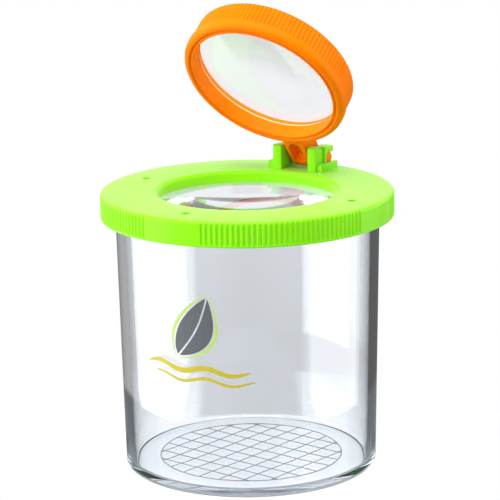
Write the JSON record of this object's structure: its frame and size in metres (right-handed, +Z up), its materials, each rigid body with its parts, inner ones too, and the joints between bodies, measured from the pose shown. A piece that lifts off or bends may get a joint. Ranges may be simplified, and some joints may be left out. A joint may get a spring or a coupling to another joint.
{
  "type": "bug catcher jar",
  "caption": "Clear tapered jar with a vented push-on lid that holds a lens, a hinged round magnifier over it and a measuring grid on its floor, for looking at live insects.",
  "frame": {"origin": "under the middle of the jar's base, on the surface that it stands on", "axes": "+Z up the jar, +Y from the middle towards the magnifier's hinge, +X along the hinge pin"},
  "size_m": [0.079, 0.079, 0.1256],
  "materials": {
    "clear_plastic": "clear moulded polystyrene, glossy",
    "grid_ink": "black printed ink lines",
    "green_plastic": "light green moulded plastic, satin",
    "lens_plastic": "clear moulded acrylic, polished",
    "orange_plastic": "orange moulded plastic, satin"
  },
  "bodies": {
    "jar": {"jar": "clear_plastic", "measuring_grid": "grid_ink"},
    "lid": {"lid": "green_plastic", "lid_lens": "lens_plastic"},
    "magnifier": {"magnifier_frame": "orange_plastic", "magnifier_lens": "lens_plastic"}
  },
  "joints": [
    {"name": "lid_lift", "type": "slide", "parent": "jar", "child": "lid", "axis": [0, 0, 1], "range_m": [0, 0.04]},
    {"name": "magnifier_hinge", "type": "hinge", "parent": "lid", "child": "magnifier", "pos_m": [0, 0.033, 0.07895], "axis": [-1, 0, 0], "range_deg": [-52.3, 112.7]}
  ]
}
